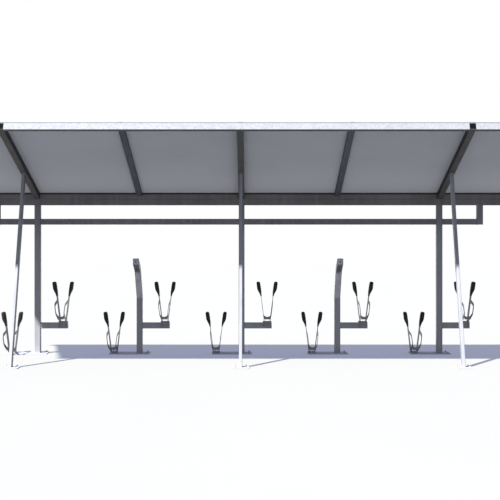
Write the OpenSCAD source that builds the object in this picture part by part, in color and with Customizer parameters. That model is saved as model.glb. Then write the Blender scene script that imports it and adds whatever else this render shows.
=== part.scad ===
// Open bike shelter: a lean-to roof on three posts and three raking props,
// with five columns that each carry a low and a high looped wheel holder.
// The front faces -Y, the origin is on the ground under the middle of the roof.

/* [Layout] */
// Distance between neighbouring columns
column_pitch = 1410; // [1250:5:1700]
// Distance between the middle post and the right stand
short_pitch = 1323; // [1250:1:1700]
// Length of the roof past the outer posts
roof_overhang = 1100; // [750:5:1300]
// Distance from the outer posts to the hangers that end the rear rail
hanger_reach = 560; // [300:1:650]
// Reach of the roof's front edge before the posts
front_reach = 2070; // [1800:1:2400]

/* [Posts] */
// Width of the square tube of posts, stands and hangers
post_w = 80; // [60:1:110]
// Wall of the structural tubes
tube_wall = 4; // [3:0.5:6]
// Outer corner radius of the structural tubes
corner_r = 7; // [6.5:0.5:12]
// Height of the posts
post_top = 2051; // [1950:1:2400]
// Thickness of the plates that close tube ends
cap_t = 5; // [3:0.5:8]

/* [Base plates] */
// Thickness of all plates on the ground
plate_t = 12; // [8:1:20]
// Depth of the plates under posts and stands
plate_d = 250; // [210:5:350]
// Reach of these plates to the right of the post's centre
plate_right = 140; // [100:5:200]
// Edge of these plates past the foot of the low holder
plate_margin = 5; // [2:1:30]
// Diameter of the anchor holes
anchor_d = 14; // [10:0.5:20]
// Distance of the anchor holes from the plate's edges
anchor_inset = 35; // [25:1:45]

/* [Beams] */
// Height of the head beam on the posts
head_h = 84; // [70:1:130]
// Height of the rear rail
rail_h = 80; // [60:1:120]
// Height of the rear rail's centre over the ground
rail_z = 1823; // [1500:1:1850]

/* [Roof] */
// Slope of the roof in degrees
roof_slope = 19.5; // [12:0.1:24]
// Width of all rafters
rafter_w = 80; // [60:1:110]
// Depth of the main rafters
rafter_h = 80; // [70:1:140]
// Depth of the slim rafters between them and at the verges
slim_rafter_h = 40; // [30:1:60]
// Wall of the slim rafters
slim_wall = 3; // [2:0.5:5]
// Thickness of the roof panels
panel_t = 12; // [8:1:40]
// Open seam between two roof panels
seam_gap = 4; // [2:0.5:10]
// Width of the strips that cover the seams
strip_w = 60; // [40:1:80]
// Thickness of the strips that cover the seams
strip_t = 4; // [2:0.5:8]

/* [Front edge] */
// Depth of the front edge channel along the slope
edge_d = 52; // [40:1:80]
// Wall of the channel
edge_wall = 4; // [2:0.5:6]
// Height of the channel's rear lips
edge_lip = 16; // [10:0.5:18]

/* [Props] */
// Width of the raking prop, seen from the front
prop_w = 40; // [30:1:70]
// Depth of the raking prop
prop_d = 80; // [60:1:110]
// Distance of the prop's head before the posts
prop_reach = 815; // [500:1:1000]
// Lean of the prop in degrees
prop_lean = 16.9; // [10:0.1:22]
// Width of the prop's foot plate
prop_foot_w = 207; // [180:1:300]
// Depth of the prop's foot plate
prop_foot_d = 210; // [200:5:300]

/* [Stands] */
// Height at which the stand begins to lean forward
stand_kink_z = 760; // [650:1:900]
// Lean of the stand's upper part in degrees
stand_lean = 33.4; // [20:0.1:45]
// Length of the straight leaning stretch
stand_lean_len = 385; // [250:1:450]
// Turn of the nose past the lean in degrees
nose_turn = 31; // [15:1:40]
// Centre-line radius of the lower bend
kink_r = 110; // [90:1:200]
// Centre-line radius of the bend into the nose
nose_r = 140; // [90:1:250]
// Reach of the nose's upright end before the front of the posts
nose_reach = 430; // [400:1:520]

/* [Arms] */
// Height of the arm's tube
arm_h = 80; // [60:1:110]
// Height of the arm's centre over the ground
arm_z = 389; // [250:1:600]
// Length of the arm past the high holder's bracket
arm_margin = 4; // [2:1:30]

/* [Wheel holders] */
// Distance of the holders from the column's centre
holder_offset = 352; // [280:1:420]
// Height of a holder to the tips of its grips
holder_h = 568; // [450:1:700]
// Distance of the two uprights at the foot
foot_gap = 78; // [66:1:80]
// Distance of the two uprights at the tips
tip_gap = 217; // [180:1:300]
// Thickness of the flat uprights
bar_t = 6; // [6:0.5:10]
// Depth of the flat uprights
bar_d = 90; // [60:1:94]
// Thickness of the flat loops before the uprights
loop_t = 5; // [3:0.5:5]
// Width of the flat loops
loop_w = 40; // [24:1:50]
// Height at which a loop leaves its upright
loop_top = 300; // [260:1:340]
// Reach of a loop before its upright
loop_reach = 254; // [180:1:300]
// Fall of a loop's upper stretch in degrees
loop_drop = 11; // [0:1:20]
// Height at which a loop turns back to the foot
loop_low = 130; // [90:1:150]
// Bend radius of the loops
loop_r = 62; // [40:1:75]
// Height of the saddle bar between the loops
saddle_h = 26; // [18:1:32]
// Thickness of the saddle bar
saddle_t = 8; // [5:0.5:12]
// Sag of the saddle bar
saddle_sag = 30; // [15:1:35]
// Width of the low holder's foot
foot_w = 100; // [98:1:140]
// Thickness of the holders' feet
foot_t = 18; // [14:1:24]
// Length of a foot before the uprights
foot_front = 46; // [44:1:60]
// Length of a foot behind the uprights
foot_back = 48; // [48:1:70]
// Width of the bracket that straddles the arm
bracket_w = 118; // [100:1:160]
// Thickness of the bracket's cheeks
cheek_t = 6; // [4:0.5:10]
// Height of the bracket's cheeks down the arm
cheek_h = 60; // [40:1:64]

/* [Grips] */
// Length of a grip along its upright
grip_l = 200; // [150:1:240]
// Width of a grip
grip_w = 54; // [44:1:64]
// Depth of a grip from front to back
grip_d = 104; // [102:1:130]
// Wall of a grip round the upright
grip_wall = 10; // [8:0.5:12]
// Corner radius at the top of a grip, seen from the front
grip_top_r = 16; // [8:1:20]
// Corner radius at the top of a grip, seen from the side
grip_corner_r = 22; // [14:1:28]
// Clearance of a grip round its upright
grip_fit = 0.2; // [0.1:0.05:0.4]

/* [Hidden] */
$fn = 64;

// Overrun of a cut past the face that it opens
overrun = 6;
// Lap of a straight stretch into the bend that follows it
bend_lap = 2;
// Swell of a bend over the straight stretches at its ends
bend_swell = 0.2;
// Where the saddle bar crosses the loops, as a share of their reach
saddle_share = 0.78;
// Where the grips reach their full section, as a share of their length
grip_taper_share = 0.45;
// Depth of a grip's lower end, as a share of its full depth
grip_root_share = 0.96;
// Depth of the bore for the upright, as a share of the grip's length
grip_bore_share = 0.84;

// Places along the shelter: three posts with a stand in each bay
post_span = 3 * column_pitch + short_pitch;
roof_len = post_span + 2 * roof_overhang;
left_end = -roof_len / 2;
right_end = roof_len / 2;
column_x = [
    -post_span / 2,
    -post_span / 2 + column_pitch,
    -post_span / 2 + 2 * column_pitch,
    post_span / 2 - column_pitch,
    post_span / 2
];

// Places from the roof's front edge to the back of the base plates
shelter_d = front_reach + (post_w + plate_d) / 2;
front_y = -shelter_d / 2;
post_front_y = front_y + front_reach;
post_y = post_front_y + post_w / 2;
post_back_y = post_front_y + post_w;

// Heights
head_top = post_top + head_h;
arm_top = arm_z + arm_h / 2;
slope_len = front_reach / cos(roof_slope);
sky_z = head_top + shelter_d;

// Lower end of a stand's nose, and its length along the centre line to the upright end
nose_lean = stand_lean + nose_turn;
nose_root_y = post_y - kink_r * (1 - cos(stand_lean)) - stand_lean_len * sin(stand_lean)
    - nose_r * (cos(stand_lean) - cos(nose_lean));
nose_root_z = stand_kink_z + kink_r * sin(stand_lean) + stand_lean_len * cos(stand_lean)
    + nose_r * (sin(nose_lean) - sin(stand_lean));
nose_end_y = post_front_y - nose_reach;
nose_len = (nose_root_y - nose_end_y) / sin(nose_lean);

// Head and foot of the props' centre lines
prop_head_y = post_front_y - prop_reach;
prop_head_z = head_top + prop_reach * tan(roof_slope);
prop_foot_y = prop_head_y - prop_head_z * tan(prop_lean);

// Plates and arms follow the holders that they carry
plate_left = holder_offset + foot_w / 2 + plate_margin;
arm_reach = holder_offset + bracket_w / 2 + arm_margin;

// Lean of a holder's uprights, and the run of its loops from the upright to the foot
bar_len = holder_h - foot_t / 2;
holder_lean = atan((tip_gap - foot_gap) / 2 / bar_len);
loop_foot = foot_front / 2;
loop_end_z = (loop_w - foot_t) / 2 + bend_lap;
loop_path = [
    [0, loop_top],
    [-loop_reach, loop_top - loop_reach * tan(loop_drop)],
    [-loop_reach, loop_low],
    [-loop_foot, loop_end_z]
];
saddle_y = saddle_share * loop_reach;
saddle_run = (saddle_y - loop_foot) / (loop_reach - loop_foot);
saddle_z = loop_end_z + (loop_low - loop_end_z) * saddle_run;
saddle_half = foot_gap / 2 + saddle_z * sin(holder_lean);
saddle_r = (pow(saddle_half, 2) + pow(saddle_sag, 2)) / (2 * saddle_sag);
grip_z = bar_len - grip_l;

frame_paint = "#6a6c78";
shade_paint = "#53555c";
panel_grey = "#83868d";
bright_zinc = "#dfe1e8";
holder_grey = "#4a4c54";
grip_black = "#1d1d20";

// Height of the panels' underside at a place from front to back
function under_z(y) = head_top + rafter_h / cos(roof_slope) + (post_front_y - y) * tan(roof_slope);

function unit(v) = v / norm(v);
function turn_of(a, b, c) = acos(unit(b - a) * unit(c - b));
function turn_sign(a, b, c) = sign(cross(unit(b - a), unit(c - b)));
function setback(path, i, r) =
    i == 0 || i == len(path) - 1 ? 0 : r * tan(turn_of(path[i - 1], path[i], path[i + 1]) / 2);

// Rectangle with rounded corners, centred
module rounded(w, h, r) {
    square([w - 2 * r, h], center = true);
    square([w, h - 2 * r], center = true);
    for (sx = [-1, 1], sy = [-1, 1])
        translate([sx * (w / 2 - r), sy * (h / 2 - r)]) circle(r);
}

// Section of a rolled tube
module tube_section(w, h, wall) {
    difference() {
        rounded(w, h, corner_r);
        rounded(w - 2 * wall, h - 2 * wall, corner_r - wall);
    }
}

// Draws a shape of [Y, Z] along X
module along_x(length) {
    rotate([90, 0, 90]) linear_extrude(length) children();
}

// Tube along X from its left end, with closing plates where asked
module beam(length, w, h, wall, left_cap = 0, right_cap = 0) {
    along_x(length) tube_section(w, h, wall);
    if (left_cap > 0) along_x(left_cap) rounded(w, h, corner_r);
    if (right_cap > 0) translate([length - right_cap, 0, 0]) along_x(right_cap) rounded(w, h, corner_r);
}

// Frame of the roof: Y runs down the slope, Z is square to it from the main rafters' underside
module on_slope() {
    translate([0, post_front_y, head_top]) rotate([-roof_slope, 0, 0]) children();
}

// Keeps what lies before an upright plane
module plumb_cut(x, w, y) {
    intersection() {
        children();
        translate([x - w / 2 - overrun, -shelter_d, 0]) cube([w + 2 * overrun, shelter_d + y, sky_z]);
    }
}

// Flat board on the slope, cut square at the roof's front and upright over the back of the posts
module slope_board(x, w, z0, h) {
    plumb_cut(x, w, post_back_y)
        on_slope() translate([x - w / 2, -slope_len, z0]) cube([w, 2 * slope_len, h]);
}

// Tube on the slope whose top carries the panels, cut upright at the front of the rear edge
module slope_tube(x, h, wall, inset) {
    plumb_cut(x, rafter_w, post_front_y)
        on_slope() translate([x, slope_len, rafter_h - h / 2])
            rotate([90, 0, 0]) linear_extrude(2 * slope_len - inset) tube_section(rafter_w, h, wall);
}

// Bend of a square tube from upright towards the front; what follows goes on its end
module bend_forward(r, angle) {
    outer = post_w + bend_swell;
    inner = post_w - 2 * tube_wall - bend_swell;
    translate([0, -r, 0]) rotate([90, 0, 90])
        rotate_extrude(angle = angle) translate([r, 0]) difference() {
            rounded(outer, outer, corner_r);
            rounded(inner, inner, corner_r - tube_wall);
        }
    translate([0, r * cos(angle) - r, r * sin(angle)]) rotate([angle, 0, 0]) children();
}

// Straight stretch of a square tube that laps into the bends at its ends
module stretch(length, lap_below = 0, lap_above = 0) {
    translate([0, 0, -lap_below]) linear_extrude(lap_below + length + lap_above)
        tube_section(post_w, post_w, tube_wall);
}

// Flat bar on edge along a path of [Y, Z] points, with its inner corners bent to a radius
module bent_bar(path, r, w, t) {
    last = len(path) - 1;
    for (i = [0 : last - 1]) {
        run = unit(path[i + 1] - path[i]);
        from = path[i] + run * (setback(path, i, r) - (i > 0 ? bend_lap : 0));
        to = path[i + 1] - run * (setback(path, i + 1, r) - (i < last - 1 ? bend_lap : 0));
        translate([0, from[0], from[1]]) rotate([atan2(-run[0], run[1]), 0, 0])
            translate([-t / 2, -w / 2, 0]) cube([t, w, norm(to - from)]);
    }
    for (i = [1 : last - 1]) {
        run = unit(path[i] - path[i - 1]);
        way = turn_sign(path[i - 1], path[i], path[i + 1]);
        turn = turn_of(path[i - 1], path[i], path[i + 1]);
        side = way * [-run[1], run[0]];
        centre = path[i] - run * setback(path, i, r) + side * r;
        start = atan2(-side[1], -side[0]);
        translate([0, centre[0], centre[1]]) rotate([90, 0, 90])
            rotate([0, 0, way > 0 ? start : start - turn])
                rotate_extrude(angle = turn) translate([r, 0])
                    square([w + bend_swell, t + bend_swell], center = true);
    }
}

module both_sides() {
    children();
    mirror([1, 0, 0]) children();
}

// Plate on the ground with four anchor holes
module ground_plate(x0, y0, w, d) {
    hole_x = [x0 + anchor_inset, x0 + w - anchor_inset];
    hole_y = [y0 + anchor_inset, y0 + d - anchor_inset];
    difference() {
        translate([x0, y0, 0]) cube([w, d, plate_t]);
        for (x = hole_x, y = hole_y)
            translate([x, y, -overrun]) cylinder(d = anchor_d, h = plate_t + 2 * overrun);
    }
}

module roof_panels() {
    seams = concat([left_end - seam_gap / 2], column_x, [right_end + seam_gap / 2]);
    color(panel_grey) for (i = [0 : len(seams) - 2]) {
        x = (seams[i] + seams[i + 1]) / 2;
        w = seams[i + 1] - seams[i] - seam_gap;
        slope_board(x, w, rafter_h, panel_t);
    }
}

module seam_strips() {
    color(panel_grey) for (x = column_x)
        slope_board(x, strip_w, rafter_h + panel_t, strip_t);
}

// Lipped channel that closes the roof's front, as deep as the main rafters and square to the slope
module edge_section() {
    mouth = rafter_h - 2 * edge_lip;
    difference() {
        square([edge_d, rafter_h]);
        translate([edge_wall, edge_wall]) square([edge_d - 2 * edge_wall, rafter_h - 2 * edge_wall]);
        translate([edge_d / 2, edge_lip]) square([edge_d, mouth]);
    }
}

// The outer rafters run through to the front and part the channel into three lengths
module front_edge() {
    half = rafter_w / 2;
    spans = [
        [left_end, column_x[0] - half],
        [column_x[0] + half, column_x[4] - half],
        [column_x[4] + half, right_end]
    ];
    color(bright_zinc) for (span = spans)
        on_slope() translate([span[0], -slope_len, 0]) along_x(span[1] - span[0]) edge_section();
}

// Outline of the rear edge: level on the head beam, with its top in the slope, drawn in by a wall
module rear_section(wall) {
    top_wall = wall / cos(roof_slope);
    y0 = post_front_y + wall;
    y1 = post_back_y - wall;
    polygon([
        [y0, head_top + wall],
        [y1, head_top + wall],
        [y1, under_z(y1) - top_wall],
        [y0, under_z(y0) - top_wall]
    ]);
}

// Hollow section on the head beam that the rafters end against
module rear_edge() {
    color(shade_paint) translate([left_end, 0, 0]) {
        along_x(roof_len) difference() {
            rear_section(0);
            rear_section(tube_wall);
        }
        for (x = [0, roof_len - cap_t]) translate([x, 0, 0]) along_x(cap_t) rear_section(0);
    }
}

module head_beam() {
    color(shade_paint) translate([left_end, post_y, post_top + head_h / 2])
        beam(roof_len, post_w, head_h, tube_wall, cap_t, cap_t);
}

// Four lengths in line: outside the posts to the hangers, and between the posts
module rear_rail() {
    half = post_w / 2;
    stops = [
        column_x[0] - hanger_reach,
        column_x[0],
        column_x[2],
        column_x[4],
        column_x[4] + hanger_reach
    ];
    color(frame_paint) for (i = [0 : len(stops) - 2])
        translate([stops[i] + half, post_y, rail_z])
            beam(stops[i + 1] - stops[i] - post_w, post_w, rail_h, tube_wall);
}

// Main rafter; the outer ones run through to the front and show their open ends there
module rafter(i) {
    through = i == 0 || i == 4;
    color(shade_paint) slope_tube(column_x[i], rafter_h, tube_wall, through ? 0 : edge_d);
}

module slim_rafter(x) {
    color(shade_paint) slope_tube(x, slim_rafter_h, slim_wall, edge_d);
}

module post(i) {
    color(frame_paint) translate([column_x[i], post_y, plate_t])
        linear_extrude(post_top - plate_t) tube_section(post_w, post_w, tube_wall);
}

// Short upright that carries the end of the rear rail from the head beam
module hanger(x) {
    bottom = rail_z - rail_h / 2;
    color(frame_paint) translate([x, post_y, bottom]) {
        linear_extrude(post_top - bottom) tube_section(post_w, post_w, tube_wall);
        linear_extrude(cap_t) rounded(post_w, post_w, corner_r);
    }
}

// Free-standing column whose top leans forward and ends in a closed nose, cut upright
module stand(i) {
    straight = stand_kink_z - plate_t;
    run = nose_len + post_w;
    color(frame_paint) {
        translate([column_x[i], post_y, plate_t]) {
            stretch(straight, 0, bend_lap);
            translate([0, 0, straight]) bend_forward(kink_r, stand_lean) {
                stretch(stand_lean_len, bend_lap, bend_lap);
                translate([0, 0, stand_lean_len]) bend_forward(nose_r, nose_turn);
            }
        }
        nose_slice(i, shelter_d) stretch(run, bend_lap);
        nose_slice(i, cap_t) linear_extrude(run) rounded(post_w, post_w, corner_r);
    }
}

// Part of a stand's nose that lies in an upright slice behind its end face
module nose_slice(i, depth) {
    intersection() {
        translate([column_x[i], nose_root_y, nose_root_z]) rotate([nose_lean, 0, 0]) children();
        translate([column_x[i] - post_w, nose_end_y, 0]) cube([2 * post_w, depth, sky_z]);
    }
}

// Raking prop, cut to the slope under its rafter and level on its foot plate
module prop(i) {
    x0 = column_x[i] - prop_w;
    color(frame_paint) intersection() {
        translate([column_x[i], prop_head_y, prop_head_z]) rotate([-prop_lean, 0, 0])
            linear_extrude(2 * sky_z, center = true) tube_section(prop_w, prop_d, tube_wall);
        on_slope() translate([x0, -slope_len, -2 * sky_z])
            cube([2 * prop_w, 2 * slope_len, 2 * sky_z]);
        translate([x0, -shelter_d, plate_t]) cube([2 * prop_w, 2 * shelter_d, sky_z]);
    }
}

module prop_foot(i) {
    x0 = column_x[i] - prop_foot_w / 2;
    y0 = prop_foot_y - prop_foot_d / 2;
    color(frame_paint) ground_plate(x0, y0, prop_foot_w, prop_foot_d);
}

module base_plate(i) {
    x0 = column_x[i] - plate_left;
    y0 = post_y - plate_d / 2;
    color(frame_paint) ground_plate(x0, y0, plate_left + plate_right, plate_d);
}

module arm(i) {
    color(frame_paint) translate([column_x[i] + post_w / 2, post_y, arm_z])
        beam(arm_reach - post_w / 2, post_w, arm_h, tube_wall, 0, cap_t);
}

// Places a shape in the frame of the right upright: Z runs up it from the middle of the foot
module on_upright() {
    translate([foot_gap / 2, 0, foot_t / 2]) rotate([0, holder_lean, 0]) children();
}

// Sagging bar that the tyre rests on, welded between the two loops
module saddle() {
    centre_z = foot_t / 2 + saddle_z + saddle_h / 2 + saddle_r - saddle_sag;
    translate([0, -saddle_y, centre_z]) rotate([90, 0, 0]) linear_extrude(saddle_t, center = true)
        intersection() {
            difference() {
                circle(saddle_r + saddle_h);
                circle(saddle_r);
            }
            translate([-saddle_half, -saddle_r - saddle_h - overrun])
                square([2 * saddle_half, 2 * saddle_h + overrun + saddle_sag]);
        }
}

// V of two uprights with a loop before each of them, and the saddle bar
module wheel_holder() {
    both_sides() on_upright() {
        translate([-bar_t / 2, -bar_d / 2, 0])
            cube([bar_t, bar_d, bar_len - grip_l * (1 - grip_bore_share)]);
        bent_bar(loop_path, loop_r, loop_w, loop_t);
    }
    saddle();
}

module low_holder(i) {
    color(holder_grey) translate([column_x[i] - holder_offset, post_y, plate_t]) {
        wheel_holder();
        translate([-foot_w / 2, -foot_front, 0]) cube([foot_w, foot_front + foot_back, foot_t]);
    }
}

// The high holder stands on a bracket that straddles the arm
module high_holder(i) {
    bracket_d = post_w + 2 * cheek_t;
    color(holder_grey) translate([column_x[i] + holder_offset, post_y, arm_top]) {
        wheel_holder();
        translate([-bracket_w / 2, -bracket_d / 2, 0]) cube([bracket_w, bracket_d, foot_t]);
        for (y = [-bracket_d / 2, post_w / 2])
            translate([-bracket_w / 2, y, -cheek_h]) cube([bracket_w, cheek_t, cheek_h + foot_t]);
    }
}

// Outline of a grip from the front: straight inside, tapered outside, round on top
module grip_front() {
    inside = bar_t / 2 + grip_wall;
    outside = grip_w - inside;
    shoulder = grip_l * grip_taper_share;
    top = grip_l - grip_top_r;
    polygon([
        [-inside, 0],
        [inside, 0],
        [outside, shoulder],
        [outside, top],
        [outside - grip_top_r, grip_l],
        [grip_top_r - inside, grip_l],
        [-inside, top]
    ]);
    for (x = [grip_top_r - inside, outside - grip_top_r]) translate([x, top]) circle(grip_top_r);
}

// Outline of a grip from the side: tapered both ways, with round shoulders
module grip_side() {
    root = grip_d * grip_root_share / 2;
    half = grip_d / 2;
    shoulder = grip_l * grip_taper_share;
    inner = half - grip_corner_r;
    polygon([
        [-root, 0],
        [root, 0],
        [half, shoulder],
        [half, grip_l - grip_corner_r],
        [inner, grip_l],
        [-inner, grip_l],
        [-half, grip_l - grip_corner_r],
        [-half, shoulder]
    ]);
    for (y = [-inner, inner]) translate([y, grip_l - grip_corner_r]) circle(grip_corner_r);
}

module grip() {
    slot_t = bar_t + 2 * grip_fit;
    slot_d = bar_d + 2 * grip_fit;
    difference() {
        intersection() {
            rotate([90, 0, 0]) linear_extrude(grip_d + 2 * overrun, center = true) grip_front();
            rotate([90, 0, 90]) linear_extrude(2 * grip_w, center = true) grip_side();
        }
        translate([-slot_t / 2, -slot_d / 2, -overrun])
            cube([slot_t, slot_d, grip_l * grip_bore_share + overrun + grip_fit]);
    }
}

// The four grips of one column
module grips(i) {
    places = [
        [column_x[i] - holder_offset, post_y, plate_t],
        [column_x[i] + holder_offset, post_y, arm_top]
    ];
    color(grip_black) for (place = places)
        translate(place) both_sides() on_upright() translate([0, 0, grip_z]) grip();
}

roof_panels();
seam_strips();
front_edge();
rear_edge();
head_beam();
rear_rail();
rafter(0);  // rafter_left
rafter(2);  // rafter_middle
rafter(4);  // rafter_right
slim_rafter(column_x[1]);  // slim_rafter_left
slim_rafter(column_x[3]);  // slim_rafter_right
slim_rafter(left_end + rafter_w / 2);  // verge_left
slim_rafter(right_end - rafter_w / 2);  // verge_right
post(0);  // post_left
post(2);  // post_middle
post(4);  // post_right
hanger(column_x[0] - hanger_reach);  // hanger_left
hanger(column_x[4] + hanger_reach);  // hanger_right
stand(1);  // stand_left
stand(3);  // stand_right
prop(0);  // prop_left
prop(2);  // prop_middle
prop(4);  // prop_right
prop_foot(0);  // prop_foot_left
prop_foot(2);  // prop_foot_middle
prop_foot(4);  // prop_foot_right
base_plate(0);  // base_plate_1
base_plate(1);  // base_plate_2
base_plate(2);  // base_plate_3
base_plate(3);  // base_plate_4
base_plate(4);  // base_plate_5
arm(0);  // arm_1
arm(1);  // arm_2
arm(2);  // arm_3
arm(3);  // arm_4
arm(4);  // arm_5
low_holder(0);  // low_holder_1
low_holder(1);  // low_holder_2
low_holder(2);  // low_holder_3
low_holder(3);  // low_holder_4
low_holder(4);  // low_holder_5
high_holder(0);  // high_holder_1
high_holder(1);  // high_holder_2
high_holder(2);  // high_holder_3
high_holder(3);  // high_holder_4
high_holder(4);  // high_holder_5
grips(0);  // grips_1
grips(1);  // grips_2
grips(2);  // grips_3
grips(3);  // grips_4
grips(4);  // grips_5
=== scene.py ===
import math
import bmesh
import bpy
from mathutils import Matrix, Vector


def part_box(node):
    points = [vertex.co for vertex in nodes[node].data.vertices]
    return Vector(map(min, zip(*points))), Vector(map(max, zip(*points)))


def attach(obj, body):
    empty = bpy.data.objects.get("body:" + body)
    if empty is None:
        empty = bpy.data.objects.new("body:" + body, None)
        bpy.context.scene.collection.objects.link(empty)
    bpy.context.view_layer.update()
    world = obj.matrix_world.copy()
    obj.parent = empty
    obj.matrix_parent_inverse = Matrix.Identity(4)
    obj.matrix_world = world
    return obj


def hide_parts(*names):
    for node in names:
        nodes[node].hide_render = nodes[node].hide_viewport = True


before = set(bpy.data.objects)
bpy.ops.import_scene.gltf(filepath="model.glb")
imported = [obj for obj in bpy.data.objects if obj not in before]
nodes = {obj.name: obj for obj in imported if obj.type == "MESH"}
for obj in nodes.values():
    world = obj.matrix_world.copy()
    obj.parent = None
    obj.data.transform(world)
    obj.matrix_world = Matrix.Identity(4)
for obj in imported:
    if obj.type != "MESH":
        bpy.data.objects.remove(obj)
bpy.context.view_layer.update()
print("frame loaded with", len(nodes), "nodes")


# a node socket that takes part in sums
class Wire:
    def __init__(self, board, socket):
        self.board = board
        self.socket = socket

    def maths(self, operation, first, second):
        return self.board.make("ShaderNodeMath", {"operation": operation}, {0: first, 1: second})

    def __add__(self, other):
        return self.maths("ADD", self, other)

    def __radd__(self, other):
        return self.maths("ADD", other, self)

    def __sub__(self, other):
        return self.maths("SUBTRACT", self, other)

    def __rsub__(self, other):
        return self.maths("SUBTRACT", other, self)

    def __mul__(self, other):
        return self.maths("MULTIPLY", self, other)

    def __rmul__(self, other):
        return self.maths("MULTIPLY", other, self)

    def __truediv__(self, other):
        return self.maths("DIVIDE", self, other)

    def side(self, name):
        return Wire(self.board, self.socket.node.outputs[name])

    def ramp(self, low, high):
        sockets = {"Value": self, "From Min": low, "From Max": high}
        return self.board.make("ShaderNodeMapRange", {"interpolation_type": "SMOOTHSTEP"}, sockets)

    # a pattern from 0 to 1, counted from its middle
    def sway(self):
        return self - 0.5


# a node tree that is filled from here
class Board:
    def __init__(self, tree):
        self.tree = tree
        tree.nodes.clear()

    def make(self, kind, settings=None, sockets=None, output=0):
        node = self.tree.nodes.new(kind)
        for key, value in (settings or {}).items():
            setattr(node, key, value)
        for key, value in (sockets or {}).items():
            if isinstance(value, Wire):
                self.tree.links.new(value.socket, node.inputs[key])
            else:
                node.inputs[key].default_value = value
        return Wire(self, node.outputs[output]) if len(node.outputs) else None

    def blend(self, factor, first, second):
        return self.make("ShaderNodeMix", {"data_type": "RGBA"}, {0: factor, 6: first, 7: second}, 2)

    def noise(self, place, scale, detail=2.0, rough=0.5):
        sockets = {"Vector": place, "Scale": scale, "Detail": detail, "Roughness": rough}
        return self.make("ShaderNodeTexNoise", {}, sockets)

    # noise drawn out along one way
    def streaks(self, place, scales, detail, rough=0.5):
        drawn = self.make("ShaderNodeMapping", {}, {"Vector": place, "Scale": scales})
        return self.noise(drawn, 1.0, detail, rough)

    def cells(self, place, scale, output):
        return self.make("ShaderNodeTexVoronoi", {}, {"Vector": place, "Scale": scale}, output)

    def split(self, vector, axis):
        return self.make("ShaderNodeSeparateXYZ", {}, {"Vector": vector}, axis)

    def facing(self, axis):
        return self.split(self.make("ShaderNodeNewGeometry", {}, {}, "Normal"), axis)

    def bump(self, height, strength, distance):
        return self.make("ShaderNodeBump", {}, {"Height": height, "Strength": strength, "Distance": distance})


def tint(red, green, blue):
    return (red, green, blue, 1.0)


def newFinish(name):
    material = bpy.data.materials.new(name)
    material.use_nodes = True
    board = Board(material.node_tree)
    place = board.make("ShaderNodeTexCoord", {}, {}, "Object")
    return material, board, place


def closeFinish(board, sockets):
    shader = board.make("ShaderNodeBsdfPrincipled", {}, sockets)
    board.make("ShaderNodeOutputMaterial", {}, {"Surface": shader})


# patterns are scale, detail and roughness; pairs are where a mask starts and is full
coatGrain = {
    "cloud": (1.7, 4.0, 0.55), "streak": ((16.0, 16.0, 0.7), 3.0), "speck": (70.0, 3.0), "peel": (620.0, 2.0),
    "cloudShare": 0.55, "tone": (0.36, 0.64), "splash": (0.3, 0.75), "side": (0.5, 0.9),
    "front": (0.55, 0.75), "below": (0.72, 0.88), "worn": (0.35, 0.6), "wornLeast": 0.6,
    "fadeIn": 0.03, "fadeOut": 0.02, "speckRough": 0.12, "dustRough": 0.25, "peelShare": 0.7,
    "bump": (0.22, 0.0006),
}


# powder coat with orange peel, faint streaks and dust near the ground; where a look asks, painted shade darkens
# the upper end, the sheltered side, both sides and downward faces, and a lighter front band is partly rub wear,
# partly a painted highlight
def makeCoat(name, look):
    material, board, place = newFinish(name)
    g = coatGrain
    sideways = board.facing("X")
    height = board.split(place, "Z")
    cloud = board.noise(place, *g["cloud"])
    streak = board.streaks(place, *g["streak"])
    speck = board.noise(place, *g["speck"])
    peel = board.noise(place, *g["peel"])
    tone = (cloud * g["cloudShare"] + streak * (1.0 - g["cloudShare"])).ramp(*g["tone"])
    splash = (1.0 - height.ramp(0.0, look["dustTop"])) * speck.ramp(*g["splash"]) * look["dust"]
    paint = board.blend(tone, look["dark"], look["light"])
    # painted shade: darker towards the upper end, under the roof
    if look["head"]:
        paint = board.blend(height.ramp(*look["headShadeBand"]) * look["head"], paint, look["paintedShade"])
    # painted shade on the sheltered +X side
    if look["leeShade"]:
        paint = board.blend(sideways.ramp(*g["side"]) * look["leeShade"], paint, look["paintedShade"])
    # painted shade on both sides
    if look["flankShade"]:
        paint = board.blend((sideways * sideways).ramp(*g["side"]) * look["flankShade"], paint, look["paintedShade"])
    if look["rubAndHighlight"]:
        # lighter band on the front-facing lean: partly rub wear, partly a painted highlight
        low, high = look["rubAndHighlightBand"]
        band = height.ramp(low - g["fadeIn"], low + g["fadeIn"])
        band = band * (1.0 - height.ramp(high - g["fadeOut"], high + g["fadeOut"]))
        front = (0.0 - sideways.side("Y")).ramp(*g["front"])
        worn = g["wornLeast"] + (1.0 - g["wornLeast"]) * streak.ramp(*g["worn"])
        paint = board.blend(band * front * worn * look["rubAndHighlight"], paint, look["rubAndHighlightTint"])
        # painted shade on downward faces
        below = (0.0 - sideways.side("Z")).ramp(*g["below"])
        paint = board.blend(below * look["soffitShade"], paint, look["paintedShade"])
    closeFinish(board, {
        "Base Color": board.blend(splash, paint, look["dustTint"]),
        "Roughness": look["rough"] + g["speckRough"] * speck.sway() + g["dustRough"] * splash,
        "Normal": board.bump(peel * g["peelShare"] + speck * (1.0 - g["peelShare"]), *g["bump"]),
        "Specular IOR Level": look["gloss"],
    })
    return material


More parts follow.
